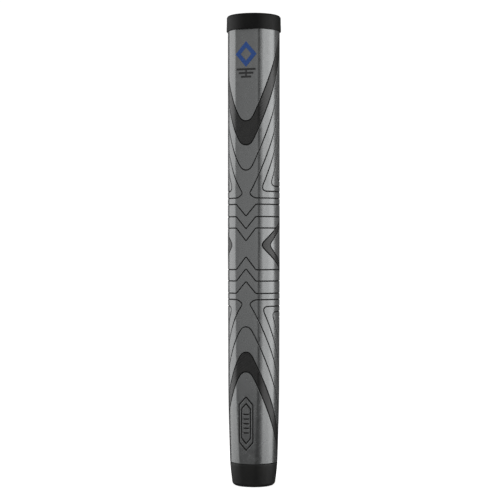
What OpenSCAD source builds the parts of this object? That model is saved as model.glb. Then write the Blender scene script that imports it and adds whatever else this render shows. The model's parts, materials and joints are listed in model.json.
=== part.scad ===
// Putter grip: a foam core on the shaft, wrapped in felt-backed polymer, with a rubber cap and collar.
// Millimetres. The shaft bore runs along Z, its mouth at the origin, and the front flat faces -Y.

/* [Body] */
// Length from the tip face to the butt face
grip_length = 266.7; // [262:0.1:272]
// Diameter of the straight upper half
body_d = 29.5; // [29:0.1:31]
// Distance from the axis to the front flat in the upper half
flat_depth = 13.3; // [13:0.1:13.8]
// Diameter just below the middle
waist_d = 29.1; // [28.5:0.05:29.5]
// Diameter where the skin meets the tip collar
neck_d = 26.9; // [26.2:0.1:27.6]

/* [Layers] */
// Thickness of the polymer skin
skin_t = 0.9; // [0.7:0.05:1.2]
// Thickness of the felt behind the skin
felt_t = 0.7; // [0.4:0.05:1]
// Thickness of the dark inlays and of the seam bead
inlay_t = 0.45; // [0.3:0.05:0.6]

/* [Shaft] */
// Bore for the butt of a putter shaft, 0.580 in
bore_d = 14.732; // [14:0.001:16]
// Thickness of the butt cap's floor, which closes the bore
cap_floor = 4.7; // [3:0.1:6]

/* [Ends] */
// Height of the skin's lower edge, which is the height of the tip collar
collar_h = 13.1; // [10:0.1:16]
// Diameter of the collar at the tip face
collar_tip_d = 24.4; // [23:0.1:25]
// How far the butt cap stands out from the body all round
cap_lip = 0.75; // [0.3:0.05:1.2]
// Height of the cap's rim
cap_h = 9.3; // [8:0.1:10.5]
// Depth of the skin's upper edge inside the cap's rim
cap_overlap = 2.2; // [1.5:0.1:3]
// Diameter of the sleeves on the cap and the collar that plug into the core
sleeve_d = 20.6; // [18:0.1:21]
// Length of those sleeves
sleeve_h = 8; // [5:0.5:12]
// Air vent through the cap
vent_d = 3.5; // [2:0.1:4]

/* [Pattern] */
// Height of the mirror line of the front pattern
pattern_mid_z = 134.1; // [130:0.1:138]
// Height of the middle of the side inlays
side_mid_z = 136.25; // [132:0.05:140]
// Rise of the upper dark V's arms for each millimetre round the body
upper_slope = 2.4; // [2.3:0.02:2.5]
// The same for the lower dark V
lower_slope = 2.22; // [2.16:0.02:2.4]
// Distance from the mirror line to the near edge of the upper dark V, at the front centre
upper_v_from = 58.35; // [56:0.05:61]
// Height of the upper dark V's band at the front centre
upper_v_band = 13.5; // [11:0.1:15]
// Distance from the mirror line to the near edge of the lower dark V
lower_v_from = 57.95; // [56:0.05:60]
// Height of the lower dark V's band
lower_v_band = 11.1; // [9:0.1:12]
// Girth distance from the front centre to the point of the side inlays
side_from = 9.5; // [9.5:0.05:10.5]
// Width of the side inlays at their point
side_band = 5.35; // [4:0.05:6]

/* [Hidden] */
$fn = 96;

body_r = body_d / 2;
rim_z = grip_length - cap_h;
wrap_top = rim_z + cap_overlap;
bore_depth = grip_length - cap_floor;
cap_edge_r = 1.4;
collar_edge_r = 2.2;
seam_w = 1.6;
film_t = 0.12;
emblem_z = 243.4;
bars_z = 232.8;

// Diameter of the wrapped body at each height
stations = [[collar_h, neck_d], [50, 28.9], [62, waist_d], [130, body_d], [grip_length, body_d]];
function radius_at(z) = lookup(z, stations) / 2;

// The front flat is a plane parallel to the axis, leaning in a little near the tip so that it lasts
neck_flat = min(flat_depth, neck_d / 2 - 0.35);
function flat_at(z) = lookup(z, [[collar_h, neck_flat], [50, flat_depth], [grip_length, flat_depth]]);

// The section is a circle with a front flat. Girth distance s is measured from the front centre.
flat_half = sqrt(body_r ^ 2 - flat_depth ^ 2);
flat_angle = asin(flat_half / body_r);
half_girth = flat_half + body_r * (180 - flat_angle) * PI / 180;
emblem_w = min(12.4, 2 * flat_half - 0.3);
function angle_at(s) =
    abs(s) <= flat_half
    ? atan2(s, flat_depth)
    : sign(s) * (flat_angle + (abs(s) - flat_half) / body_r * 180 / PI);
function radius_out(s) = abs(s) <= flat_half ? norm([s, flat_depth]) : body_r;

// Rise of a V line from the front centre: level to about half_level, then round into a straight arm
function eased(u) = (u + norm([u, 1.8])) / 2;
function v_rise(s, half_level) = eased(norm([s, 1.2]) - half_level) - eased(1.2 - half_level);
function upper_v_line(s, from, half_level) = pattern_mid_z + from + upper_slope * v_rise(s, half_level);
function lower_v_line(s, from, half_level) = pattern_mid_z - from - lower_slope * v_rise(s, half_level);
// Half height of a side triangle that starts at girth distance tip, with a blunt, rounded point
side_spread = 0.765;
side_blunt = 2.7;
function side_half(s, tip) = side_spread * sqrt(max(0, (s - tip) * (s - tip + 2 * side_blunt)));

function reversed(list) = [for (i = [len(list) - 1 : -1 : 0]) list[i]];
// Girth distances from a to b, at most step apart
function spread(a, b, step) = let (n = ceil((b - a) / step)) [for (i = [0 : n]) a + (b - a) * i / n];

// One straight-sided slab of a band that wraps the body, between two heights that vary with s.
// It is cut square to the direction it faces, and reaches through the skin by spare each way.
module slab(s_list, low, high, spare = 1) {
    first = angle_at(s_list[0]);
    last = angle_at(s_list[len(s_list) - 1]);
    facing = (first + last) / 2;
    depth = body_r * cos((last - first) / 2) - 0.6 - spare;
    function across(s) = radius_out(s) * sin(angle_at(s) - facing);
    rotate([0, 0, facing])
        translate([0, -depth, 0])
            rotate([90, 0, 0])
                linear_extrude(body_r + spare - depth)
                    polygon(concat([for (s = s_list) [across(s), low(s)]],
                                   [for (s = reversed(s_list)) [across(s), high(s)]]));
}

// The wrapped body, drawn in by inset, between two heights
module body_solid(inset, z_low, z_high) {
    inner = [for (s = stations) if (s[0] > z_low && s[0] < z_high) s[0]];
    heights = concat([z_low], inner, [z_high]);
    intersection() {
        rotate([0, 0, 90]) rotate_extrude()
            polygon(concat([[0, z_low]], [for (z = heights) [radius_at(z) - inset, z]], [[0, z_high]]));
        rotate([90, 0, 90])
            linear_extrude(4 * body_r, center = true)
                polygon(concat([for (z = heights) [inset - flat_at(z), z]],
                               [[2 * body_r, z_high], [2 * body_r, z_low]]));
    }
}

module bore(z_low, z_high) {
    translate([0, 0, z_low])
        cylinder(d = bore_d, h = z_high - z_low);
}

// A V round the front and both sides: one slab faces forward and one faces each side.
// The side slabs lap the front one and are a hair wider, so that their edges don't cross.
module v_zone(low, high) {
    lap = 0.05;
    s_split = 15.5;
    s_end = 34;
    front = spread(5, s_split + 0.5, 3.5);
    side = spread(s_split, s_end, 3.5);
    slab(concat(-reversed(front), spread(-4, 4, 1), front), low, high);
    for (m = [0, 1])
        mirror([m, 0, 0])
            slab(side, function(s) low(s) - lap, function(s) high(s) + lap);
}

module upper_v_zone() {
    v_zone(function(s) upper_v_line(s, upper_v_from, 3.45),
           function(s) upper_v_line(s, upper_v_from + upper_v_band, 3.35));
}

module lower_v_zone() {
    v_zone(function(s) lower_v_line(s, lower_v_from + lower_v_band, 3.1),
           function(s) lower_v_line(s, lower_v_from, 2.85));
}

// A triangle wrapped round one side, from its rounded point to girth distance s_end
module side_triangle(tip, s_end, spare) {
    lap = 0.05;
    s_split = 29;
    near = [for (i = [1 : 5]) tip + 0.06 * i ^ 2];
    slab(concat(near, spread(tip + 2.5, s_split + 0.5, 3)),
         function(s) side_mid_z - side_half(s, tip),
         function(s) side_mid_z + side_half(s, tip), spare);
    slab(spread(s_split, s_end, 3),
         function(s) side_mid_z - side_half(s, tip) - lap,
         function(s) side_mid_z + side_half(s, tip) + lap, spare);
}

// The side band is a large triangle less a smaller one; both reach the seam at the back
module side_zone() {
    seam_edge = half_girth - seam_w / 2;
    difference() {
        side_triangle(side_from, seam_edge, 1);
        side_triangle(side_from + side_band, seam_edge + 1, 1.6);
    }
}

module seam_zone() {
    translate([-seam_w / 2, 0, collar_h - 1])
        cube([seam_w, 2 * body_r, grip_length]);
}

// A pocket in the skin's outer face, inlay_t deep, under the zone given as a child
module pocket() {
    difference() {
        children();
        body_solid(inlay_t, collar_h - 2, wrap_top + 2);
    }
}

// The piece that fills such a pocket, flush with the skin
module inlay() {
    difference() {
        intersection() {
            body_solid(0, collar_h, wrap_top);
            children();
        }
        body_solid(inlay_t, collar_h - 1, wrap_top + 1);
    }
}

module foam_core() {
    color("whitesmoke")
    difference() {
        body_solid(skin_t + felt_t, collar_h, wrap_top);
        bore(0, grip_length);
        translate([0, 0, collar_h - 1])
            cylinder(d = sleeve_d, h = sleeve_h + 1);
        translate([0, 0, wrap_top - sleeve_h])
            cylinder(d = sleeve_d, h = sleeve_h + 1);
    }
}

module felt_backing() {
    color("darkgray")
    difference() {
        body_solid(skin_t, collar_h, wrap_top);
        body_solid(skin_t + felt_t, collar_h - 1, wrap_top + 1);
    }
}

module polymer_skin() {
    color("dimgray")
    difference() {
        body_solid(0, collar_h, wrap_top);
        body_solid(skin_t, collar_h - 1, wrap_top + 1);
        pocket() upper_v_zone();
        pocket() lower_v_zone();
        pocket() side_zone();
        pocket() mirror([1, 0, 0]) side_zone();
        pocket() seam_zone();
    }
}

module seam_bead() {
    color("gray") inlay() seam_zone();
}

module upper_front_inlay() {
    color("black") inlay() upper_v_zone();
}

module lower_front_inlay() {
    color("black") inlay() lower_v_zone();
}

module right_side_inlay() {
    color("black") inlay() side_zone();
}

module left_side_inlay() {
    color("black") inlay() mirror([1, 0, 0]) side_zone();
}

// A flat shape drawn facing the front, laid on the front flat at a height
module on_front(z) {
    translate([0, -flat_depth, z])
        rotate([90, 0, 0])
            linear_extrude(film_t)
                children();
}

module diamond(w, h) {
    polygon([[-w / 2, 0], [0, -h / 2], [w / 2, 0], [0, h / 2]]);
}

// A plain diamond with an open middle
module front_emblem() {
    color("royalblue")
    on_front(emblem_z)
        difference() {
            diamond(emblem_w, 14.4);
            diamond(6.4, 7.4);
        }
}

// Three bars on a short stem, under the emblem
module emblem_bars() {
    color("black")
    on_front(bars_z) {
        square([0.8, 4.6], center = true);
        for (i = [-1 : 1])
            translate([0, 2.1 * i])
                square([emblem_w * (0.69 + 0.21 * i), 1.1], center = true);
    }
}

// Points of an arc of radius r about the point c, from angle a to angle b
function arc(c, r, a, b, n = 6) =
    [for (i = [0 : n]) let (t = a + (b - a) * i / n) c + r * [cos(t), sin(t)]];

module tip_collar() {
    // The collar stands a little inside the skin, so the skin's lower edge shows
    inset = 0.15;
    top_r = neck_d / 2 - inset;
    tip_r = collar_tip_d / 2;
    top_flat = neck_flat - inset;
    color("#1c1c1c")
    difference() {
        union() {
            intersection() {
                rotate_extrude()
                    polygon(concat([[0, 0]],
                                   arc([tip_r - collar_edge_r, collar_edge_r], collar_edge_r, -90, -8),
                                   [[top_r, collar_h], [0, collar_h]]));
                rotate([90, 0, 90])
                    linear_extrude(4 * body_r, center = true)
                        polygon([[-top_flat, collar_h], [-tip_r, 0],
                                 [2 * body_r, 0], [2 * body_r, collar_h]]);
            }
            cylinder(d = sleeve_d, h = collar_h + sleeve_h);
        }
        bore(-1, grip_length);
    }
}

module butt_cap() {
    cap_r = body_r + cap_lip;
    draft = 0.2;
    color("#1c1c1c")
    difference() {
        union() {
            difference() {
                rotate_extrude()
                    polygon(concat([[0, rim_z], [cap_r, rim_z]],
                                   arc([cap_r - cap_edge_r - draft, grip_length - cap_edge_r], cap_edge_r, 8, 90),
                                   [[0, grip_length]]));
                body_solid(0, rim_z - 1, wrap_top);
            }
            translate([0, 0, wrap_top - sleeve_h])
                cylinder(d = sleeve_d, h = sleeve_h + 1);
        }
        bore(0, bore_depth);
        cylinder(d = vent_d, h = 2 * grip_length);
    }
}

foam_core();
felt_backing();
polymer_skin();
seam_bead();
upper_front_inlay();
lower_front_inlay();
right_side_inlay();
left_side_inlay();
front_emblem();
emblem_bars();
tip_collar();
butt_cap();
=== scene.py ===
"""The looks of the putter grip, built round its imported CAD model.

The grip stands on its tip with its flat front facing -Y. The shapes are worked out in millimetres, and
Solid.make() turns them into metres. The wrap's pattern is drawn flat, on (s, z): s is the distance round
the body from the front centre line, and z is the height. Only the right half is drawn, and it is mirrored.
"""
import json
import math

import bpy
import numpy as np
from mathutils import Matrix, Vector
from mathutils.geometry import delaunay_2d_cdt


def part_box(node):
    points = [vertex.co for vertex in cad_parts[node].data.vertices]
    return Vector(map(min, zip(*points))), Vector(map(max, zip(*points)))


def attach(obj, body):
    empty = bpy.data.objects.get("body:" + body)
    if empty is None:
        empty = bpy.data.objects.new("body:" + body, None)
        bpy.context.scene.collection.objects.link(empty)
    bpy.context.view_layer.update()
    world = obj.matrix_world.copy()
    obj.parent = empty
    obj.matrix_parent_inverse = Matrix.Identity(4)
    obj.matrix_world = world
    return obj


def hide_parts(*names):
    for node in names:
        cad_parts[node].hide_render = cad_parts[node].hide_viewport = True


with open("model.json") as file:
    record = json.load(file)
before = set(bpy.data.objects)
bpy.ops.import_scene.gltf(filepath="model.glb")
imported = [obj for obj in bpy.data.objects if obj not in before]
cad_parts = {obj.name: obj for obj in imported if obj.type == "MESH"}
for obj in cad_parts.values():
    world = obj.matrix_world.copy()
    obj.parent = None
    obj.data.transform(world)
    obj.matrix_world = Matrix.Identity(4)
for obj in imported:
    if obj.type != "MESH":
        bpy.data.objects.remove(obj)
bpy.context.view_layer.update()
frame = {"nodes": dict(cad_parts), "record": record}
MM = 0.001  # metres in a millimetre
PLACES = 4  # points are rounded to this many decimals of a millimetre, so that neighbours meet
TINY = 1e-3  # a depth or a height in millimetres that counts as none


def node_box(name):
    """A CAD node's lowest and highest corners in millimetres."""
    low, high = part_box(name)
    return np.array(low) / MM, np.array(high) / MM


# ---------------------------------------------------------------- sizes, from the frame

skin_low, skin_high = node_box("polymer_skin")
collar_high = node_box("tip_collar")[1]
cap_low, cap_high = node_box("butt_cap")
felt_high = node_box("felt_backing")[1]
bore_mount = next(m for m in frame["record"]["mounts"] if m["name"] == "shaft_bore")

SKIN_Z0 = round(float(skin_low[2]), PLACES)
SKIN_Z1 = round(float(skin_high[2]), PLACES)
BODY_R = skin_high[0]
FLAT = -skin_low[1]  # distance of the front flat from the axis
SKIN_T = BODY_R - felt_high[0]
TOP_Z = cap_high[2]
CAP_R = cap_high[0]
BORE_R = bore_mount["dims"]["r_mm"]
BORE_TOP = bore_mount["dims"]["length_mm"]

# Heights and diameters of the wrapped body below its straight upper half
TAPER_Z = (SKIN_Z0, 30, 48, 62, 130)
TAPER_D = (26.9, 27.95, 28.85, 29.1, 2 * BODY_R)
NECK_R = TAPER_D[0] / 2
NECK_FLAT = NECK_R - 0.35
FLAT_TURN_Z = 50  # below this height the flat leans in, to NECK_FLAT at the collar
SOFT_Z = 7  # how far up and down the taper's corners and the flat's turn are rounded off

# ---------------------------------------------------------------- the body's section

CREASE = 0.6  # how far the corner between the flat and the round is softened
CROWN = 0.09  # how much lower the flat is at its two edges than along its middle
FLAT_HALF = math.sqrt(BODY_R**2 - FLAT**2)
FLAT_ANGLE = math.asin(FLAT_HALF / BODY_R)
HALF_GIRTH = FLAT_HALF + BODY_R * (math.pi - FLAT_ANGLE)


def smooth_min(a, b, k):
    """The smaller of a and b, blended where they are within k of each other."""
    h = np.clip(0.5 + 0.5 * (b - a) / k, 0, 1)
    return b + (a - b) * h - k * h * (1 - h)


def reach(angle, radius, flat):
    """Distance from the axis to a circle with a flat front, at an angle from the front."""
    front = np.maximum(np.cos(angle), 0.2)
    crowned = flat - CROWN * (np.sin(angle) / front / math.tan(FLAT_ANGLE)) ** 2
    return smooth_min(radius + 0 * angle, crowned / front, CREASE)


def angle_at(s):
    """The angle from the front at a distance s round the body."""
    turned = FLAT_ANGLE + (np.abs(s) - FLAT_HALF) / BODY_R
    return np.where(np.abs(s) <= FLAT_HALF, np.arctan2(s, FLAT), np.sign(s) * turned)


def softened(z, heights, values):
    """Looks values up by height, with the table's corners rounded off and its lowest slope carried on."""
    z = np.asarray(z, float)
    near = z[..., None] + np.linspace(-SOFT_Z, SOFT_Z, 9)
    slope = (values[1] - values[0]) / (heights[1] - heights[0])
    return (np.interp(near, heights, values) + np.minimum(near - heights[0], 0) * slope).mean(axis=-1)


def section(angle, z):
    """Distance from the axis to the wrap's surface."""
    radius = softened(z, TAPER_Z, TAPER_D) / 2
    flat = softened(z, (SKIN_Z0, FLAT_TURN_Z, SKIN_Z1), (NECK_FLAT, FLAT, FLAT))
    return reach(angle, radius, flat)


def on_body(s, z, depth):
    """Points at a depth below the wrap's surface, measured level, with the surface normals there."""
    angle = angle_at(s)
    step = 1e-3  # for the slopes, in radians and in millimetres
    radius = section(angle, z)
    round_it = (section(angle + step, z) - section(angle - step, z)) / (2 * step)
    up_it = (section(angle, z + step) - section(angle, z - step)) / (2 * step)
    sin, cos = np.sin(angle), np.cos(angle)
    level = np.stack([radius * sin - round_it * cos, -radius * cos - round_it * sin, 0 * radius], axis=-1)
    normal = level - radius[..., None] * up_it[..., None] * np.array([0, 0, 1])
    level /= np.linalg.norm(level, axis=-1, keepdims=True)
    normal /= np.linalg.norm(normal, axis=-1, keepdims=True)
    point = np.stack([radius * sin, -radius * cos, z + 0 * radius], axis=-1)
    return point - level * np.asarray(depth)[..., None], normal


# ---------------------------------------------------------------- the pattern's lines

MID_Z = 134.1  # the front pattern's mirror line
SEAM_HALF = 0.8  # half the width of the seam down the back
SEAM_S = HALF_GIRTH - SEAM_HALF
LINE_END = 0.9  # lines stop this far short of the skin's upper and lower edges

# Tables keyed True are for the upper half of the pattern, and those keyed False for the lower half.
# How much a line rises away from the mirror line for each millimetre round the body
SLOPES = {True: 2.4, False: 2.22}

# Each V line: its distance from the mirror line at the front centre, and half the width of its level front.
# The dark V panels lie between two of them, and one more stands nearer the mirror line.
PANELS = {True: ((58.35, 3.45), (71.85, 3.35)), False: ((57.95, 2.85), (69.05, 3.1))}
FIRST_LINES = {True: (44.2, 3.0), False: (43.75, 2.8)}
V_FRONT, V_SHOULDER = 1.2, 1.8  # how the level front and its ends are rounded

# Behind them are nested loops, each a sloping arm and a level line that meet in a rounded corner
LOOP_COUNT = 7
LOOP_ARMS = (22.1, 10.7, -0.3)  # where the first arms' straight parts would cross the front centre line
LOOP_ARM_STEP = 11.2  # how much nearer the mirror line each later arm would cross it
LOOP_LEVELS = (28.5, 32.3, 35.3)  # heights of the first level lines above the mirror line
LOOP_LEVEL_STEP = 3.3
LOOP_ROUND = 8  # how widely an arm would round the front centre line
LOOP_CORNERS = (3.5, 9.5)  # how widely the first loop's corner and the others' are rounded
FIRST_CORNER = ((1.9, 2.4), (5.0, 0.0))  # its places round the body, and their heights above its level line
FIRST_CORNER_S = 3.0  # where its arm stops short of that corner

# Chevrons across the flat: heights of the level parts and of the tips above the mirror line
CHEVRONS = ((11.7, 4.4), (18.1, 11.2), (25.0, 18.3))
CHEVRON_HALF = 5.8
CHEVRON_ROUND = 1.5

# The dark band on each side bends round a blunt tip and opens towards the seam. One line is nested in it.
SIDE_Z = 136.25
SIDE_TIPS = (9.5, 14.85)  # places of its outer and inner tips round the body
SIDE_NESTED_TIP = 25.5
SIDE_SPREAD = 0.765  # how fast its upper and lower halves part, far from the tip
SIDE_BLUNT = 2.7  # how blunt the tips are


def eased(u):
    """Nearly 0 below 0 and nearly u above it, with a round turn between."""
    return (u + np.hypot(u, V_SHOULDER)) / 2


def v_height(s, line, up):
    """Distance of a V line from the mirror line."""
    start, half_level = line
    rise = eased(np.hypot(s, V_FRONT) - half_level) - eased(V_FRONT - half_level)
    return start + SLOPES[up] * rise


def v_reach(height, line, up):
    """How far round the body a V line gets to a height."""
    start, half_level = line
    risen = (height - start) / SLOPES[up] + eased(V_FRONT - half_level)
    along = risen - V_SHOULDER**2 / (4 * risen) + half_level
    return math.sqrt(along**2 - V_FRONT**2)


def arm_height(s, crossing, up):
    """Distance of a loop's arm from the mirror line."""
    return crossing + np.hypot(SLOPES[up] * s, LOOP_ROUND)


def arm_reach(height, crossing, up):
    """How far round the body an arm gets to a height."""
    return math.sqrt(max(0, (height - crossing) ** 2 - LOOP_ROUND**2)) / SLOPES[up]


def side_half(s, tip):
    """Half the height that a side line spans at s."""
    u = np.maximum(s - tip, 0)
    return SIDE_SPREAD * np.sqrt(u * (u + 2 * SIDE_BLUNT))


def side_reach(height, tip):
    """How far round the body a side line gets to a height above its middle."""
    return tip - SIDE_BLUNT + math.hypot(SIDE_BLUNT, height / SIDE_SPREAD)


def resample(points, step):
    """Evenly spaced points along a line."""
    points = np.array(points, float)
    along = np.concatenate([[0], np.cumsum(np.linalg.norm(np.diff(points, axis=0), axis=1))])
    count = max(2, int(math.ceil(along[-1] / step)) + 1)
    at = np.linspace(0, along[-1], count)
    return np.stack([np.interp(at, along, points[:, i]) for i in (0, 1)], axis=1)


def rounded(points, width, step=0.3):
    """A line with its corners rounded: each point becomes the mean of the stretch round it."""
    fine = resample(points, step)
    total = np.concatenate([np.zeros((1, 2)), np.cumsum(fine, axis=0)])
    index = np.arange(len(fine))
    half = np.minimum(np.minimum(index, len(fine) - 1 - index), int(width / step / 2))
    return (total[index + half + 1] - total[index - half]) / (2 * half + 1)[:, None]


def thinned(line, tolerance=0.006, longest=1.1):
    """The points of a line that its shape needs, no further apart than longest."""
    keep = [0]
    for i in range(2, len(line)):
        start, end = line[keep[-1]], line[i]
        chord = end - start
        length = np.linalg.norm(chord)
        between = line[keep[-1] + 1 : i] - start
        off = np.abs(between[:, 0] * chord[1] - between[:, 1] * chord[0]) / max(length, 1e-9)
        if off.max() > tolerance or length > longest:
            keep.append(i - 1)
    return line[keep + [len(line) - 1]]


def v_line(line, up):
    """A V line from just left of the front centre to where lines stop, with closer points on its bend."""
    s_end = v_reach(height_limit(up), line, up)
    s = np.concatenate([np.arange(-4, 8, 0.3), np.arange(8, s_end, 0.5), [s_end]])
    return np.stack([s, v_height(s, line, up)], axis=1)


def height_limit(up):
    """Height above the mirror line at which lines stop, in the upper or the lower half."""
    return (SKIN_Z1 - LINE_END - MID_Z) if up else (MID_Z - SKIN_Z0 - LINE_END)


def half_pattern(up):
    """The lines of the upper or the lower half, as heights above or below the mirror line."""
    limit = height_limit(up)
    side_mid = (SIDE_Z - MID_Z) * (1 if up else -1)
    lines = [v_line(line, up) for line in PANELS[up] + (FIRST_LINES[up],)]
    for i in range(LOOP_COUNT):
        given = min(i, len(LOOP_ARMS) - 1)
        beyond = i - given
        crossing = LOOP_ARMS[given] - beyond * LOOP_ARM_STEP
        level = LOOP_LEVELS[given] + beyond * LOOP_LEVEL_STEP
        s_end = min(SEAM_S, arm_reach(limit, crossing, up))
        s_level = min(SEAM_S, side_reach(level - side_mid, SIDE_TIPS[0]))
        if i == 0:
            corner = [(s, level + above) for s, above in FIRST_CORNER]
            s_from = FIRST_CORNER_S
        else:
            corner = [(arm_reach(level, crossing, up), level)]
            s_from = corner[0][0] + 0.4
        if s_from > s_end - 2:
            continue
        s = np.arange(s_end, s_from, -0.5)
        arm_part = list(zip(s, arm_height(s, crossing, up)))
        lines.append(rounded(arm_part + corner + [(s_level, level)], LOOP_CORNERS[min(i, 1)]))
    for level, tip in CHEVRONS:
        s_level = side_reach(level - side_mid, SIDE_TIPS[0])
        bent = [(-CHEVRON_HALF, level), (0, tip), (CHEVRON_HALF, level), (s_level, level)]
        lines.append(rounded(bent, CHEVRON_ROUND))
    return lines


def side_line(tip):
    """One line of the side band's shape, from the seam round the tip and back to the seam."""
    length = SEAM_S - tip
    s = tip + np.concatenate([np.arange(0, 1.5, 0.05) ** 2, np.arange(2.5, length, 0.5), [length]])
    half = side_half(s, tip)
    upper = np.stack([s[::-1], SIDE_Z + half[::-1]], axis=1)
    lower = np.stack([s[1:], SIDE_Z - half[1:]], axis=1)
    return np.concatenate([upper, lower])


def pattern():
    """All the grooves of the right half, as lines on (s, z)."""
    lines = []
    for up in (True, False):
        for line in half_pattern(up):
            lines.append(np.stack([line[:, 0], MID_Z + line[:, 1] * (1 if up else -1)], axis=1))
    lines += [side_line(tip) for tip in SIDE_TIPS + (SIDE_NESTED_TIP,)]
    lines.append(np.array([(SEAM_S, SKIN_Z0 + LINE_END), (SEAM_S, SKIN_Z1 - LINE_END)]))
    return lines


# A plain lozenge near the tip. For each outline: half its width, half its straight sides, half its height.
MARK_Z = 36.0
MARK_OUTLINES = ((4.1, 10.5, 15.0), (2.6, 8.3, 11.3))
MARK_CORNER = 1.0
MARK_RIB_HALF = 1.5
MARK_RIB_STEP = 2.6


def mark_lines():
    """The right half of a plain double-outlined lozenge with ribs, pressed into the flat."""
    lines = []
    for half, straight, tip in MARK_OUTLINES:
        bent = [(0, tip), (half, straight), (half, -straight), (0, -tip)]
        path = [(-1, tip - 1)] + bent + [(-1, 1 - tip)]
        lines.append(rounded(path, MARK_CORNER) + (0, MARK_Z))
    for i in range(-2, 3):
        z = MARK_Z + i * MARK_RIB_STEP
        lines.append(np.array([(-0.5, z), (MARK_RIB_HALF, z)]))
    return lines


# ---------------------------------------------------------------- the wrap's flat net of triangles

# Each groove's half width and depth, and how far from its centre line the net has rows of points
GROOVE = {"half": 0.44, "deep": 0.38, "rows": (0, 0.17, 0.31, 0.44)}
MARK_GROOVE = {"half": 0.58, "deep": 0.36, "rows": (0, 0.2, 0.39, 0.58)}
# Triangles deeper than this take the black groove material: paint fill, and painted shade in the recess as
# well.
PAINT_AND_SHADE_DEPTH = 0.13  # grooves are painted below this depth
EDGE_ROUND = 0.5  # the round of the skin's upper and lower edges
FLOOR = 0.5  # depth of the pockets under the dark panels and the seam bead
INLAY_GAP = 0.02  # gap between a pocket's floor and the piece in it
RISE_DEPTH = 0.01  # an inlay's face can rise only where its grooves are shallower than this


def clip(start, end, low, high):
    """The part of each segment inside a box, and which segments have one."""
    step = end - start
    with np.errstate(divide="ignore", invalid="ignore"):
        a, b = (low - start) / step, (high - start) / step
    flat = step == 0
    outside = flat & ((start < low) | (start > high))
    near = np.where(flat, -np.inf, np.minimum(a, b)).max(axis=1)
    far = np.where(flat, np.inf, np.maximum(a, b)).min(axis=1)
    near, far = np.maximum(near, 0), np.minimum(far, 1)
    keep = (far > near) & ~outside.any(axis=1)
    return (start + step * near[:, None])[keep], (start + step * far[:, None])[keep]


def offset(line, distance):
    """A line moved sideways, to its left."""
    along = np.gradient(line, axis=0)
    along /= np.linalg.norm(along, axis=1, keepdims=True)
    return line + distance * np.stack([-along[:, 1], along[:, 0]], axis=1)


def distance_to(points, lines):
    """Distance from each point to the nearest of the lines."""
    start = np.concatenate([line[:-1] for line in lines])
    end = np.concatenate([line[1:] for line in lines])
    step = end - start
    length = (step**2).sum(axis=1)
    best = np.empty(len(points))
    batch = 1500  # keeps the arrays small
    for i in range(0, len(points), batch):
        p = points[i : i + batch, None, :]
        t = np.clip(((p - start) * step).sum(axis=2) / length, 0, 1)
        gap = p - start - t[..., None] * step
        best[i : i + batch] = np.sqrt((gap**2).sum(axis=2).min(axis=1))
    return best


def edge_heights():
    """Close rows along the skin's two edges, where it is rounded."""
    turn = np.linspace(0, math.pi / 2, 5)
    rise = EDGE_ROUND * (1 - np.sin(turn))
    return np.sort(np.concatenate([SKIN_Z0 + EDGE_ROUND - rise, SKIN_Z1 - EDGE_ROUND + rise]))


def groove_edges(groups):
    """The start and end points of all the segments that the net must have along its grooves."""
    low = np.array([0, SKIN_Z0 + LINE_END / 2])
    high = np.array([HALF_GIRTH, SKIN_Z1 - LINE_END / 2])
    starts, ends = [], []
    for group, shape in groups:
        for line in group:
            for row in shape["rows"]:
                for side in (row, -row) if row else (0,):
                    moved = offset(line, side)
                    a, b = clip(moved[:-1], moved[1:], low, high)
                    starts.append(a)
                    ends.append(b)
    return np.concatenate(starts), np.concatenate(ends)


def net_grid():
    """The net's own columns, closest at the flat's edge, and its rows between the grooves."""
    flat = np.linspace(0, FLAT_HALF - 1.2, 5)
    turn = np.arange(FLAT_HALF - 0.6, FLAT_HALF + 1.3, 0.6)
    back = np.linspace(FLAT_HALF + 2, SEAM_S, 34)
    columns = np.concatenate([flat, turn, back, [HALF_GIRTH - SEAM_HALF / 2, HALF_GIRTH]])
    rows = np.linspace(SKIN_Z0 + 2, SKIN_Z1 - 2, 84)
    return np.round(columns, PLACES), rows


def crossings(columns, rows):
    """The points where columns and rows cross."""
    return np.stack(np.meshgrid(columns, rows), axis=-1).reshape(-1, 2)


def build_net(groups):
    """Points and triangles over the right half of the wrap, with points along every groove."""
    starts, ends = groove_edges(groups)
    columns, rows = net_grid()
    inner = crossings(columns, rows)
    clear = np.ones(len(inner), bool)
    for lines, shape in groups:
        clear &= distance_to(inner, lines) > shape["half"] + 0.15
    loose = np.concatenate([inner[clear], crossings(columns, edge_heights())])

    points = np.concatenate([starts, ends, loose])
    points, index = np.unique(np.round(points, PLACES), axis=0, return_inverse=True)
    index = index.reshape(-1)
    count = len(starts)
    pairs = np.stack([index[:count], index[count : 2 * count]], axis=1)
    pairs = pairs[pairs[:, 0] != pairs[:, 1]]
    result = delaunay_2d_cdt([Vector(p) for p in points], pairs.tolist(), [], 0, 1e-5)
    net = np.round(np.array([tuple(v) for v in result[0]]), PLACES)
    return net, np.array(result[2]), columns


grooves = (
    ([thinned(line) for line in pattern()], GROOVE),
    ([thinned(line) for line in mark_lines()], MARK_GROOVE),
)
net, triangles, net_columns = build_net(grooves)


def groove_depth(points):
    """Depth of the grooves at each point: a rounded trough along every line."""
    depth = np.zeros(len(points))
    for lines, shape in grooves:
        near = np.minimum(distance_to(points, lines) / shape["half"], 1)
        depth = np.maximum(depth, shape["deep"] * 0.5 * (1 + np.cos(math.pi * near)))
    return np.where(depth < TINY, 0, depth)


def edge_depth(z):
    """How far the skin's rounded edges draw its face in."""
    inside = np.minimum(z - SKIN_Z0, SKIN_Z1 - z)
    short = np.clip(EDGE_ROUND - inside, 0, EDGE_ROUND)
    return EDGE_ROUND - np.sqrt(EDGE_ROUND**2 - short**2)


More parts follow.
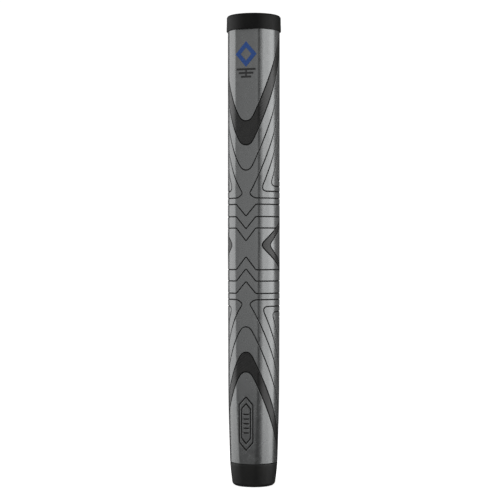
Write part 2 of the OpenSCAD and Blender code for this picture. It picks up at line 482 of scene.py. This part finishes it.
def zone_of(s, z):
    """Which piece the surface belongs to: skin, upper, lower, side or seam."""
    up, down = z - MID_Z, MID_Z - z
    zone = np.full(len(s), "skin", dtype=object)
    for name, away, half in (("upper", up, True), ("lower", down, False)):
        near, far = (v_height(s, line, half) for line in PANELS[half])
        zone[(away > near) & (away < far)] = name
    away = np.abs(z - SIDE_Z)
    outer, inner = (side_half(s, tip) for tip in SIDE_TIPS)
    zone[(s > SIDE_TIPS[0]) & (away < outer) & (away > inner)] = "side"
    zone[s > SEAM_S] = "seam"
    return zone


# ---------------------------------------------------------------- from the net to solid pieces

corners = net[triangles]
sides = corners[:, 1:] - corners[:, :1]
clockwise = sides[:, 0, 0] * sides[:, 1, 1] < sides[:, 0, 1] * sides[:, 1, 0]
triangles[clockwise] = triangles[clockwise][:, ::-1]
centres = corners.mean(axis=1)
zones = zone_of(centres[:, 0], centres[:, 1])
surface_depth = np.maximum(groove_depth(net), edge_depth(net[:, 1]))


def touched(zone):
    """Marks the net's points that a zone's triangles use."""
    used = np.zeros(len(net), bool)
    used[triangles[zones == zone]] = True
    return used


def border_of(zone):
    """Marks a zone's points that other zones use too, and those on the wrap's ends."""
    outside = np.zeros(len(net), bool)
    outside[triangles[zones != zone]] = True
    ends = (net[:, 1] < SKIN_Z0 + TINY) | (net[:, 1] > SKIN_Z1 - TINY)
    return outside | ends


class Solid:
    """Triangles gathered from patches of the net and from lofts, welded where their points meet."""

    def __init__(self):
        self.points, self.normals, self.faces, self.uvs, self.slots = [], [], [], [], []
        self.count = 0

    def add(self, points, normals, faces, uvs, slots):
        """Takes in triangles, with their corners' places on the unrolled wrap and their material slots."""
        self.points.append(points)
        self.normals.append(normals)
        self.faces.append(faces + self.count)
        self.uvs.append(uvs)
        self.slots.append(slots)
        self.count += len(points)

    def patch(self, chosen, depth, side, inward=False):
        """A part of the net, on the right (side 1) or the left (side -1), at its own depths."""
        used, local = np.unique(chosen, return_inverse=True)
        local = local.reshape(chosen.shape)
        s, z = net[used, 0] * side, net[used, 1]
        points, normals = on_body(s, z, depth[used])
        normals[depth[used] > TINY] = 0  # make() works those out from the mesh
        if (side < 0) != inward:
            local = local[:, ::-1]
        uvs = np.stack([s, z], axis=1)[local]
        # Triangles deep in a groove get the second slot, the black groove material: paint fill and painted
        # shade in the recess.
        dark = depth[used][local].mean(axis=1) > PAINT_AND_SHADE_DEPTH
        self.add(points, normals * (0 if inward else 1), local, uvs, dark.astype(int))

    def loft(self, rings, slot=0):
        """Joins closed rings of points one to the next."""
        rings = np.array(rings)
        count, around = rings.shape[:2]
        i, j = np.meshgrid(np.arange(count - 1), np.arange(around), indexing="ij")
        after = (j + 1) % around
        a, b = i * around + j, i * around + after
        c, d = b + around, a + around
        halves = [np.stack(half, axis=-1).reshape(-1, 3) for half in ((a, b, c), (a, c, d))]
        faces = np.concatenate(halves)
        points = rings.reshape(-1, 3)
        angle = np.arctan2(points[:, 0], -points[:, 1]) * BODY_R
        uvs = np.stack([angle, points[:, 2]], axis=1)[faces]
        self.add(points, np.zeros_like(points), faces, uvs, np.full(len(faces), slot))

    def make(self, name, materials):
        """Welds the points, drops triangles that have no area, and makes the piece in metres."""
        points, normals = np.concatenate(self.points), np.concatenate(self.normals)
        faces, uvs = np.concatenate(self.faces), np.concatenate(self.uvs)
        slots = np.concatenate(self.slots)
        key = np.round(points, PLACES) + 0.0  # adding 0 turns -0 into 0
        _, first, index = np.unique(key, axis=0, return_index=True, return_inverse=True)
        faces = index.reshape(-1)[faces]
        whole = (faces[:, 0] != faces[:, 1]) & (faces[:, 1] != faces[:, 2]) & (faces[:, 0] != faces[:, 2])
        faces, uvs, slots = faces[whole], uvs[whole], slots[whole]
        mesh = bpy.data.meshes.new(name)
        mesh.from_pydata(points[first] * MM, [], faces.tolist())
        for material in materials:
            mesh.materials.append(material)
        mesh.polygons.foreach_set("material_index", slots.astype(np.int32))
        mesh.polygons.foreach_set("use_smooth", np.ones(len(faces), bool))
        layer = mesh.uv_layers.new(name="wrap")
        layer.data.foreach_set("uv", (uvs * MM).reshape(-1))
        mesh.update()
        worked_out = np.empty(3 * len(first))
        mesh.vertices.foreach_get("normal", worked_out)
        worked_out = worked_out.reshape(-1, 3)
        known = np.abs(normals[first]).sum(axis=1) > 0
        worked_out[known] = normals[first][known]
        mesh.normals_split_custom_set_from_vertices(worked_out.tolist())
        piece = bpy.data.objects.new(name, mesh)
        bpy.context.collection.objects.link(piece)
        return piece


def wrap_ring(z, depth):
    """A ring of points round the whole body, at a height and a depth below the wrap's surface."""
    s = np.concatenate([net_columns, -net_columns[-2:0:-1]])
    return on_body(s, np.full(len(s), z), np.full(len(s), depth))[0]


def make_skin(materials):
    """The grooved skin, with pockets for the dark panels and the seam bead."""
    skin = Solid()
    depth = surface_depth.copy()
    for zone in ("upper", "lower", "side", "seam"):
        depth[touched(zone) & ~border_of(zone)] = FLOOR
    for side in (1, -1):
        skin.patch(triangles, depth, side)
    lining = [wrap_ring(z, SKIN_T) for z in np.linspace(SKIN_Z1, SKIN_Z0, 30)]
    skin.loft([wrap_ring(SKIN_Z1, EDGE_ROUND)] + lining + [wrap_ring(SKIN_Z0, EDGE_ROUND)])
    return skin.make("grooved_skin", materials)


def make_inlay(name, zone, sides, materials, rise=None):
    """A piece that fills its pocket, its face flush with the skin and edged by the groove.

    Its top and bottom meet along its border, so triangles with all their corners there are left out.
    """
    inlay = Solid()
    border = border_of(zone)
    chosen = triangles[(zones == zone) & ~border[triangles].all(axis=1)]
    top = surface_depth.copy()
    if rise is not None:
        clear_of_grooves = top < RISE_DEPTH
        top = top - rise(net[:, 0]) * clear_of_grooves
    bottom = np.where(border, surface_depth, FLOOR - INLAY_GAP)
    for side in sides:
        inlay.patch(chosen, top, side)
        inlay.patch(chosen, bottom, side, inward=True)
    return inlay.make(name, materials)


# ---------------------------------------------------------------- the cap and the collar

AROUND = 160  # points in each ring
TURN = np.linspace(0, 2 * math.pi, AROUND, endpoint=False)
FRONT_REACH = 1.3  # the flat front's effect on a ring ends well within this angle


def ring(radius, z, flat=None):
    """A ring at one height: a circle, or the body's section where a flat is given."""
    out = np.full(AROUND, float(radius))
    if flat is not None:
        wrapped = (TURN + math.pi) % (2 * math.pi) - math.pi
        out = reach(np.clip(wrapped, -FRONT_REACH, FRONT_REACH), radius, flat)
    return np.stack([out * np.sin(TURN), -out * np.cos(TURN), np.full(AROUND, float(z))], axis=1)


def arc(r, z, radius, start, end, count=7):
    """Profile points round a centre, between two angles in degrees."""
    turn = np.radians(np.linspace(start, end, count))
    return [(r + radius * math.cos(t), z + radius * math.sin(t)) for t in turn]


SLEEVE_R = 10.3  # the sleeves that plug into the core
RIM_H = 9.3  # from the cap's top down to the edge of its rim
RIM_ROUND = 0.35
VENT_R = 1.75
VENT_ROUND = 0.6
TOP_ROUND = 1.4
TOP_ROUND_R = CAP_R - 1.55  # radius at which the domed top turns down into the side
DOME = 0.35  # how much higher the top's middle is than its edge
RECESS = 0.25  # depth of the shallow ring in the top


def crown(r):
    """Height of the cap's top, which is domed a little."""
    return TOP_Z - DOME * (r / TOP_ROUND_R) ** 2


def make_cap(materials):
    """The butt cap: a rim over the wrap's end, a domed top with a ring and a vent, and a sleeve."""
    rim_z, ceiling, foot = TOP_Z - RIM_H, SKIN_Z1, cap_low[2]
    outer = arc(CAP_R - RIM_ROUND, rim_z + RIM_ROUND, RIM_ROUND, -90, 0, 5)
    outer += [(CAP_R - 0.03, rim_z + 2), (CAP_R - 0.12, rim_z + 4.5)]
    outer += arc(TOP_ROUND_R, TOP_Z - DOME - TOP_ROUND, TOP_ROUND, 4, 88, 11)
    dome = [(r, crown(r)) for r in (12.6, 11.9, 11.6)]
    dome += [(r, crown(r) - RECESS) for r in (11.3, 10.9)]
    dome += [(r, crown(r)) for r in (10.6, 10.2, 8, 6, 4.4)]
    vent = arc(VENT_R + VENT_ROUND, TOP_Z - VENT_ROUND - 0.01, VENT_ROUND, 90, 180, 6)
    vent.append((VENT_R, BORE_TOP))
    plug = [(BORE_R - 0.2, BORE_TOP), (BORE_R, BORE_TOP - 0.2), (BORE_R, foot + 0.3)]
    plug += [(BORE_R + 0.3, foot), (SLEEVE_R - 0.3, foot), (SLEEVE_R, foot + 0.3), (SLEEVE_R, ceiling)]
    rings = [ring(r, z) for r, z in outer + dome + vent + plug]
    rings += [ring(BODY_R + 0.04, z, FLAT + 0.04) for z in (ceiling, rim_z + 0.25)]
    rings += [ring(BODY_R + 0.2, rim_z, FLAT + 0.2), rings[0]]
    cap = Solid()
    cap.loft(rings)
    return cap.make("rubber_butt_cap", materials)


COLLAR_INSET = 0.03  # how far the collar's top edge stands inside the wrap
COLLAR_TAPER = 1.45  # how much smaller its radius is at the mouth
COLLAR_BEND = 1.3  # above 1, the taper quickens towards the mouth
MOUTH_ROUND = 2.4
BORE_EDGE = 0.5  # the bevel where the bore opens


def make_collar(materials):
    """The rubber collar at the tip, flat in front at the top and round at the mouth, with its sleeve."""
    top_z, sleeve_z = SKIN_Z0, collar_high[2]
    top_r = NECK_R - COLLAR_INSET
    top_flat = NECK_FLAT - COLLAR_INSET

    def side_r(z):
        return top_r - COLLAR_TAPER * (1 - z / top_z) ** COLLAR_BEND

    def front_at(z, r):
        return r - (top_r - top_flat) * (z / top_z)

    walls = [(side_r(z), z) for z in np.linspace(MOUTH_ROUND, top_z - 0.45, 12)]
    lip = [(top_r - 0.06, top_z - 0.2), (top_r - 0.25, top_z)]
    foot_r = walls[0][0] - MOUTH_ROUND
    foot = [(BORE_R + BORE_EDGE, 0), (foot_r, 0)] + arc(foot_r, MOUTH_ROUND, MOUTH_ROUND, -80, -8, 9)
    body = [ring(r, z, front_at(z, r)) for r, z in foot + walls + lip]
    sleeve = [(SLEEVE_R + 0.1, top_z), (SLEEVE_R, top_z + 0.1), (SLEEVE_R, sleeve_z - 0.4)]
    sleeve += [(SLEEVE_R - 0.4, sleeve_z), (BORE_R + 0.3, sleeve_z), (BORE_R, sleeve_z - 0.3)]
    sleeve += [(BORE_R, BORE_EDGE)]
    collar = Solid()
    collar.loft(body + [ring(r, z) for r, z in sleeve] + [body[0]])
    return collar.make("rubber_tip_collar", materials)


# ---------------------------------------------------------------- materials


HATCH_TURN = 0.96  # slant of the fine hatch, in radians


class Look:
    """A node material with one Principled shader, built up step by step."""

    def __init__(self, name, **sockets):
        self.material = bpy.data.materials.new(name)
        self.material.use_nodes = True
        self.tree = self.material.node_tree
        self.shader = self.tree.nodes["Principled BSDF"]
        for socket, value in sockets.items():
            self.shader.inputs[socket.replace("_", " ")].default_value = value
        self.bump = None

    def node(self, kind, inputs=(), **settings):
        """A new node; each of its inputs is linked to an output or set to a value."""
        node = self.tree.nodes.new(kind)
        for key, value in settings.items():
            setattr(node, key, value)
        for socket, value in dict(inputs).items():
            if hasattr(value, "is_linked"):
                self.tree.links.new(value, node.inputs[socket])
            else:
                node.inputs[socket].default_value = value
        return node

    def link(self, output, socket):
        """Links an output to one of the shader's inputs."""
        self.tree.links.new(output, self.shader.inputs[socket])

    def position(self, scale=(1, 1, 1)):
        """Where a point is on the object, in millimetres times scale."""
        coordinates = self.node("ShaderNodeTexCoord").outputs["Object"]
        size = tuple(k / MM for k in scale)
        return self.node("ShaderNodeMapping", {"Vector": coordinates, "Scale": size}).outputs[0]

    def unrolled(self, turned=0.0):
        """Where a point is on the unrolled wrap, in millimetres, turned by an angle."""
        uv = self.node("ShaderNodeUVMap", uv_map="wrap").outputs[0]
        settings = {"Vector": uv, "Scale": (1 / MM,) * 3, "Rotation": (0, 0, turned)}
        return self.node("ShaderNodeMapping", settings).outputs[0]

    def noise(self, vector, scale, detail=2.0, roughness=0.5):
        """Cloudy noise, as a factor."""
        settings = {"Vector": vector, "Scale": scale, "Detail": detail, "Roughness": roughness}
        return self.node("ShaderNodeTexNoise", settings).outputs["Fac"]

    def ramp(self, factor, *stops):
        """Maps a factor through a ramp of (place, grey or colour) stops."""
        node = self.node("ShaderNodeValToRGB", {"Fac": factor})
        elements = node.color_ramp.elements
        while len(elements) < len(stops):
            elements.new(1.0)
        for element, (place, value) in zip(elements, stops):
            element.position = place
            element.color = (*value, 1) if isinstance(value, tuple) else (value, value, value, 1)
        return node.outputs["Color"]

    def mixed(self, factor, a, b):
        """A colour between a and b."""
        node = self.node("ShaderNodeMix", data_type="RGBA")
        for socket, value in ((node.inputs[0], factor), (node.inputs[6], a), (node.inputs[7], b)):
            if hasattr(value, "is_linked"):
                self.tree.links.new(value, socket)
            else:
                socket.default_value = (*value, 1) if isinstance(value, tuple) else value
        return node.outputs[2]

    def hatch(self, scale, distortion):
        """Fine slanting bands, as a height."""
        settings = {"Vector": self.unrolled(HATCH_TURN), "Scale": scale, "Distortion": distortion}
        settings.update({"Detail": 1.0, "Detail Scale": 1.5})
        return self.node("ShaderNodeTexWave", settings, wave_type="BANDS").outputs["Fac"]

    def bumped(self, height, strength, distance):
        """Adds a layer of bump, distance in millimetres."""
        inputs = {"Height": height, "Strength": strength, "Distance": distance * MM}
        if self.bump:
            inputs["Normal"] = self.bump
        self.bump = self.node("ShaderNodeBump", inputs).outputs[0]
        self.link(self.bump, "Normal")


def pearl_polymer():
    """The wrap's satin skin: faintly mottled, with a light grain and a fine hatch."""
    look = Look("pearl_polymer", Metallic=0.7, Roughness=0.3)
    place = look.position()
    mottle = look.noise(place, 0.35, 3.0)
    grain = look.noise(place, 5.0, 2.0)
    base = look.ramp(mottle, (0.3, (0.180, 0.184, 0.184)), (0.7, (0.205, 0.210, 0.210)))
    colour = look.mixed(look.ramp(grain, (0.42, 0.0), (0.62, 0.35)), base, (0.25, 0.255, 0.26))
    look.link(colour, "Base Color")
    look.link(look.ramp(mottle, (0.3, 0.22), (0.7, 0.29)), "Roughness")
    look.bumped(look.hatch(0.45, 1.2), 0.10, 0.03)
    look.bumped(grain, 0.08, 0.02)
    return look.material


def groove_paint_and_shade():
    """Matte black paint in the grooves, which also stands in for the shade that falls in them: painted
    shade.
    """
    look = Look("groove_paint_and_shade", Roughness=0.6, Specular_IOR_Level=0.2)
    grain = look.noise(look.position(), 4.0, 3.0)
    look.link(look.ramp(grain, (0.3, (0.006, 0.006, 0.006)), (0.7, (0.014, 0.014, 0.014))), "Base Color")
    look.bumped(grain, 0.3, 0.03)
    return look.material


def dark_panel():
    """The dark panels: satin and hatched."""
    look = Look("dark_panel", Roughness=0.33, Specular_IOR_Level=0.55)
    place = look.position()
    mottle = look.noise(place, 0.5, 3.0)
    look.link(look.ramp(mottle, (0.3, (0.008, 0.008, 0.008)), (0.7, (0.013, 0.013, 0.012))), "Base Color")
    look.link(look.ramp(mottle, (0.3, 0.29), (0.7, 0.37)), "Roughness")
    look.bumped(look.hatch(0.26, 0.6), 0.6, 0.06)
    look.bumped(look.noise(place, 6.0, 2.0), 0.3, 0.02)
    return look.material


def black_rubber(name, dark, light, gloss):
    """Moulded rubber, clouded between a dark and a light tone."""
    look = Look(name, Roughness=0.5, Specular_IOR_Level=gloss)
    place = look.position()
    cloud = look.noise(place, 0.25, 4.0)
    grain = look.noise(place, 7.0, 2.0)
    look.link(look.ramp(cloud, (0.3, dark), (0.7, light)), "Base Color")
    look.link(look.ramp(cloud, (0.3, 0.44), (0.7, 0.56)), "Roughness")
    look.bumped(grain, 0.35, 0.03)
    return look.material


def printed_film(name, dark, light):
    """The emblem's film, grained between a dark and a light tone."""
    look = Look(name, Roughness=0.35)
    grain = look.noise(look.position(), 6.0, 2.0)
    look.link(look.ramp(grain, (0.35, dark), (0.65, light)), "Base Color")
    look.bumped(grain, 0.25, 0.01)
    return look.material


def foam():
    """Pale foam with fine cells."""
    look = Look("eva_foam", Roughness=0.85)
    cells = look.node("ShaderNodeTexVoronoi", {"Vector": look.position(), "Scale": 2.5}).outputs["Distance"]
    look.link(look.ramp(cells, (0.1, (0.45, 0.45, 0.43)), (0.5, (0.72, 0.72, 0.69))), "Base Color")
    look.bumped(cells, 0.5, 0.1)
    return look.material


def felt():
    """Grey felt, its fibres drawn out along the grip."""
    look = Look("needle_felt", Roughness=0.95)
    fibres = look.noise(look.position((1, 1, 0.3)), 3.0, 6.0, 0.7)
    look.link(look.ramp(fibres, (0.35, (0.10, 0.10, 0.10)), (0.65, (0.22, 0.22, 0.22))), "Base Color")
    look.bumped(fibres, 0.6, 0.1)
    return look.material


# ---------------------------------------------------------------- putting the grip together

# The groove material is black paint fill that also stands in for the shade in the grooves: painted shade.
pearl, paint_and_shade, panel = pearl_polymer(), groove_paint_and_shade(), dark_panel()
cap_rubber = black_rubber("cap_rubber", (0.0055, 0.0055, 0.0055), (0.009, 0.009, 0.0085), 0.15)
collar_rubber = black_rubber("collar_rubber", (0.010, 0.010, 0.010), (0.016, 0.016, 0.015), 0.30)


BEAD_RISE = 0.12


def bead_rise(s):
    """Height of the seam bead's rounded crown above the skin."""
    across = np.clip((HALF_GIRTH - s) / (SEAM_HALF - GROOVE["half"]), 0, 1)
    return BEAD_RISE * (1 - across**2)


pieces = (
    (make_skin([pearl, paint_and_shade]), "polymer_skin", "pearl_polymer"),
    (make_inlay("upper_panel", "upper", (1, -1), [panel, paint_and_shade]), "upper_front_inlay", "dark_polymer"),
    (make_inlay("lower_panel", "lower", (1, -1), [panel, paint_and_shade]), "lower_front_inlay", "dark_polymer"),
    (make_inlay("right_side_panel", "side", (1,), [panel, paint_and_shade]), "right_side_inlay", "dark_polymer"),
    (make_inlay("left_side_panel", "side", (-1,), [panel, paint_and_shade]), "left_side_inlay", "dark_polymer"),
    (make_inlay("back_seam_bead", "seam", (1, -1), [pearl, paint_and_shade], bead_rise), "seam_bead", "seam"),
    (make_cap([cap_rubber]), "butt_cap", "black_rubber"),
    (make_collar([collar_rubber]), "tip_collar", "black_rubber"),
)
for piece, node, slot in pieces:
    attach(piece, "root")
    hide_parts(node)

node_looks = {
    "front_emblem": printed_film("blue_film", (0.010, 0.060, 0.27), (0.022, 0.100, 0.37)),
    "emblem_bars": printed_film("black_film", (0.010, 0.010, 0.011), (0.022, 0.022, 0.023)),
    "foam_core": foam(),
    "felt_backing": felt(),
}
for name, material in node_looks.items():
    for slot in frame["nodes"][name].material_slots:
        slot.material = material

# ---------------------------------------------------------------- camera, light and floor

# Lengths here are metres
CAMERA_TURN = math.radians(19.2)  # how far it stands to the right of the grip's front
CAMERA_FAR = 0.857
CAMERA_Z = 0.13347
CAMERA_SIDE = -0.00215  # the grip stands a little to the right of the picture's middle
CAMERA_LENS = 108.4
CAMERA_SENSOR = 36
SOFTBOX_FAR = 0.7
SOFTBOX_Z = 0.30
towards = Vector((math.sin(CAMERA_TURN), -math.cos(CAMERA_TURN), 0))
rightwards = Vector((math.cos(CAMERA_TURN), math.sin(CAMERA_TURN), 0))


def around(angle, distance, height):
    """A place at an angle to the right of the camera, as the grip sees it."""
    turn = math.radians(angle)
    return (towards * math.cos(turn) + rightwards * math.sin(turn)) * distance + Vector((0, 0, height))


def aim(thing, target):
    """Turns a camera or a lamp towards a place."""
    thing.rotation_euler = (Vector(target) - thing.location).to_track_quat("-Z", "Y").to_euler()


def softbox(name, angle, size, power):
    """A rectangular lamp that shines level at the grip from an angle to the right of the camera."""
    lamp = bpy.data.lights.new(name, "AREA")
    lamp.shape = "RECTANGLE"
    lamp.size, lamp.size_y = size
    lamp.energy = power
    thing = bpy.data.objects.new(name, lamp)
    thing.location = around(angle, SOFTBOX_FAR, SOFTBOX_Z)
    thing.visible_camera = False
    bpy.context.collection.objects.link(thing)
    aim(thing, (0, 0, SOFTBOX_Z))


camera_data = bpy.data.cameras.new("camera")
camera = bpy.data.objects.new("camera", camera_data)
bpy.context.collection.objects.link(camera)
camera_data.sensor_width = CAMERA_SENSOR
camera_data.lens = CAMERA_LENS
target = rightwards * CAMERA_SIDE + Vector((0, 0, CAMERA_Z))
camera.location = target + towards * CAMERA_FAR
aim(camera, target)
bpy.context.scene.camera = camera

softbox("right_softbox", 55, (0.428, 0.9), 2.15)
softbox("side_softbox", 86.5, (0.362, 0.9), 2.3)
softbox("left_softbox", -101, (1.05, 0.9), 4.35)

# How bright the room is in each direction, given in degrees to the right of the camera as the grip sees it
ROOM = (
    (-180, 0.55), (-163, 0.45), (-150, 0.04), (-75, 0.55), (-48, 0.66), (-33, 0.91), (-8, 0.98), (5, 0.50),
    (12, 0.02), (24, 0.02), (29, 0.85), (38, 1.0), (50, 0.20), (100, 0.36), (125, 0.22), (150, 0.06),
    (163, 0.45), (180, 0.55),
)
# How much of that is left at each slope: the direction's Z, and a share
HEIGHTS = (
    (-0.40, 0.4), (-0.32, 0.35), (-0.24, 0.0), (-0.110, 0.0), (-0.090, 1.15), (-0.05, 1.05), (0.0, 1.0),
    (0.06, 0.92), (0.12, 0.55), (0.25, 0.55),
)


def room_light():
    """A dim grey room for the grip's reflections, behind a white background."""
    world = bpy.data.worlds.new("studio")
    bpy.context.scene.world = world
    world.use_nodes = True
    tree = world.node_tree

    def node(kind, **inputs):
        made = tree.nodes.new(kind)
        for name, value in inputs.items():
            socket = made.inputs[name.replace("_", " ")]
            if hasattr(value, "is_linked"):
                tree.links.new(value, socket)
            else:
                socket.default_value = value
        return made

    def ramp(factor, stops):
        made = node("ShaderNodeValToRGB", Fac=factor)
        elements = made.color_ramp.elements
        while len(elements) < len(stops):
            elements.new(1.0)
        for element, (place, value) in zip(elements, stops):
            element.position = place
            element.color = (value, value, value, 1)
        return made.outputs["Color"]

    direction = node("ShaderNodeTexCoord").outputs["Generated"]
    start = math.radians(90) - CAMERA_TURN
    turned = node("ShaderNodeMapping", Vector=direction, Rotation=(0, 0, start)).outputs[0]
    wheel = node("ShaderNodeTexGradient", Vector=turned)
    wheel.gradient_type = "RADIAL"
    sideways = ramp(wheel.outputs["Fac"], [(0.5 + angle / 360, value) for angle, value in ROOM])
    height = node("ShaderNodeSeparateXYZ", Vector=direction).outputs["Z"]
    lowest, highest = HEIGHTS[0][0], HEIGHTS[-1][0]
    scaled = node("ShaderNodeMapRange", Value=height, From_Min=lowest, From_Max=highest).outputs["Result"]
    share = ramp(scaled, [((z - lowest) / (highest - lowest), value) for z, value in HEIGHTS])
    room = node("ShaderNodeBackground", Color=sideways, Strength=share)
    white = node("ShaderNodeBackground", Color=(1, 1, 1, 1), Strength=1.05)
    seen = node("ShaderNodeLightPath").outputs["Is Camera Ray"]
    choice = node("ShaderNodeMixShader", Fac=seen)
    tree.links.new(room.outputs[0], choice.inputs[1])
    tree.links.new(white.outputs[0], choice.inputs[2])
    tree.links.new(choice.outputs[0], tree.nodes["World Output"].inputs["Surface"])


def pale_floor():
    """A plain pale disc under the grip, which the grip doesn't reflect."""
    bpy.ops.mesh.primitive_circle_add(vertices=96, radius=0.3, fill_type="NGON")
    floor = bpy.context.object
    floor.name = "floor"
    floor.visible_glossy = False
    floor.visible_diffuse = False
    pale = Look("pale_floor", Base_Color=(0.9, 0.9, 0.9, 1), Roughness=0.9, Specular_IOR_Level=0.1)
    pale.shader.inputs["Emission Color"].default_value = (1, 1, 1, 1)
    pale.shader.inputs["Emission Strength"].default_value = 0.75
    floor.data.materials.append(pale.material)


room_light()
pale_floor()

view = bpy.context.scene.view_settings
view.view_transform = "Standard"
view.look = "None"
